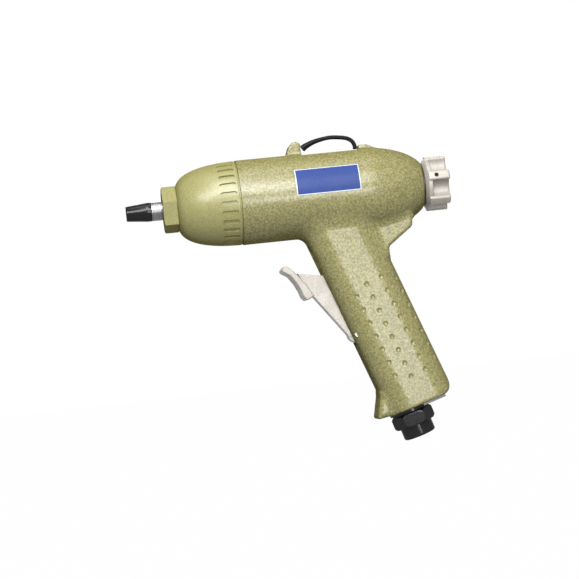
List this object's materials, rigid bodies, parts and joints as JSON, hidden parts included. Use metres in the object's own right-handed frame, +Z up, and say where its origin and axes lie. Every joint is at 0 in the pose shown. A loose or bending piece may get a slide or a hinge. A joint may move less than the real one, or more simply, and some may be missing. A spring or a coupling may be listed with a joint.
{
  "type": "pneumatic screwdriver",
  "caption": "Pistol-grip pneumatic screwdriver with a clutch nose, a raked dimpled grip, a lever trigger, a reversing knob, a wire hanger and an air inlet.",
  "frame": {"origin": "front face of the main housing, on the spindle axis", "axes": "+X along the barrel towards the reversing knob, -X towards the bit, +Z up, away from the grip, +Y to the tool's right-hand side seen from the rear"},
  "size_m": [0.191, 0.0504, 0.1847],
  "materials": {
    "hammer_paint": "hammered enamel on die-cast aluminium",
    "satin_paint": "satin enamel",
    "bright_steel": "ground and polished",
    "machined_steel": "machined, lightly oiled",
    "black_steel": "black oxide",
    "cast_metal": "fine-blasted die casting",
    "bronze": "machined",
    "black_rubber": "moulded",
    "coated_wire": "black coated wire",
    "blue_label": "printed film, blank",
    "felt": "pressed felt",
    "vane_fibre": "laminated fibre"
  },
  "bodies": {
    "casing": {"main_housing": "hammer_paint", "clutch_housing": "satin_paint", "nose_nut": "satin_paint", "nose_bush": "bronze", "thrust_washer": "bronze", "carrier_bearing_outer": "machined_steel", "ring_gear": "machined_steel", "front_end_plate": "machined_steel", "front_bearing_outer": "machined_steel", "motor_cylinder": "machined_steel", "cylinder_dowel": "machined_steel", "rear_end_plate": "machined_steel", "rear_bearing_outer": "machined_steel", "motor_gasket": "black_rubber", "reverse_bush": "bronze", "label": "blue_label", "trigger_pin": "bright_steel", "throttle_bush": "bronze", "throttle_spring": "machined_steel", "inlet_bushing": "black_steel", "inlet_washer": "black_rubber", "inlet_screen": "bronze", "exhaust_deflector": "black_steel", "silencers": "felt"},
    "output_spindle": {"spindle": "bright_steel", "bit_holder": "black_steel", "clutch_balls": "machined_steel", "clutch_spring": "machined_steel", "spring_nut": "machined_steel", "planet_carrier": "machined_steel", "planet_pins": "machined_steel", "carrier_bearing_inner": "machined_steel"},
    "sliding_cam": {"clutch_cam": "machined_steel"},
    "planet_a": {"planet_gear_1": "machined_steel"},
    "planet_b": {"planet_gear_2": "machined_steel"},
    "planet_c": {"planet_gear_3": "machined_steel"},
    "motor_rotor": {"rotor": "machined_steel", "vanes": "vane_fibre", "front_bearing_inner": "machined_steel", "rear_bearing_inner": "machined_steel"},
    "reverse_control": {"reverse_valve": "machined_steel", "reverse_seals": "black_rubber", "knob": "cast_metal", "knob_screw": "black_steel"},
    "hanger": {"bail": "coated_wire"},
    "trigger_lever": {"trigger": "cast_metal"},
    "throttle_valve": {"throttle_stem": "machined_steel", "throttle_seal": "black_rubber"}
  },
  "joints": [
    {"name": "spindle_spin", "type": "hinge", "parent": "casing", "child": "output_spindle", "pos_m": [-0.02, 0, 0], "axis": [1, 0, 0], "continuous": true},
    {"name": "clutch_slip", "type": "slide", "parent": "output_spindle", "child": "sliding_cam", "axis": [1, 0, 0], "range_m": [0, 0.0018], "stiffness_N_per_m": 3000, "springref_m": -0.004, "deforming": ["clutch_spring"]},
    {"name": "rotor_spin", "type": "hinge", "parent": "casing", "child": "motor_rotor", "pos_m": [0.056, 0, 0], "axis": [1, 0, 0], "continuous": true},
    {"name": "reverse_turn", "type": "hinge", "parent": "casing", "child": "reverse_control", "pos_m": [0.1092, 0, 0], "axis": [1, 0, 0], "range_deg": [-45, 45]},
    {"name": "bail_swing", "type": "hinge", "parent": "casing", "child": "hanger", "pos_m": [0.0397, 0, 0.0282], "axis": [0.997, 0, -0.078], "range_deg": [-80, 80]},
    {"name": "trigger_pull", "type": "hinge", "parent": "casing", "child": "trigger_lever", "pos_m": [0.06021, 0, -0.08457], "axis": [0, 1, 0], "range_deg": [0, 12], "stiffness_Nm_per_rad": 0.6, "springref_deg": -20.05},
    {"name": "throttle_open", "type": "slide", "parent": "casing", "child": "throttle_valve", "axis": [0.9426, 0, 0.3338], "range_m": [0, 0.0052], "deforming": ["throttle_spring"]},
    {"name": "planet_a_spin", "type": "hinge", "parent": "output_spindle", "child": "planet_a", "pos_m": [0.026, 0.01125, 0], "axis": [1, 0, 0], "continuous": true},
    {"name": "planet_b_spin", "type": "hinge", "parent": "output_spindle", "child": "planet_b", "pos_m": [0.026, -0.00562, 0.00974], "axis": [1, 0, 0], "continuous": true},
    {"name": "planet_c_spin", "type": "hinge", "parent": "output_spindle", "child": "planet_c", "pos_m": [0.026, -0.00562, -0.00974], "axis": [1, 0, 0], "continuous": true}
  ],
  "couplings": [
    {"joint": "rotor_spin", "follows": "spindle_spin", "ratio": 5},
    {"joint": "throttle_open", "follows": "trigger_pull", "m_per_rad": 0.02435},
    {"joint": "planet_a_spin", "follows": "spindle_spin", "ratio": -2.6667},
    {"joint": "planet_b_spin", "follows": "spindle_spin", "ratio": -2.6667},
    {"joint": "planet_c_spin", "follows": "spindle_spin", "ratio": -2.6667}
  ]
}
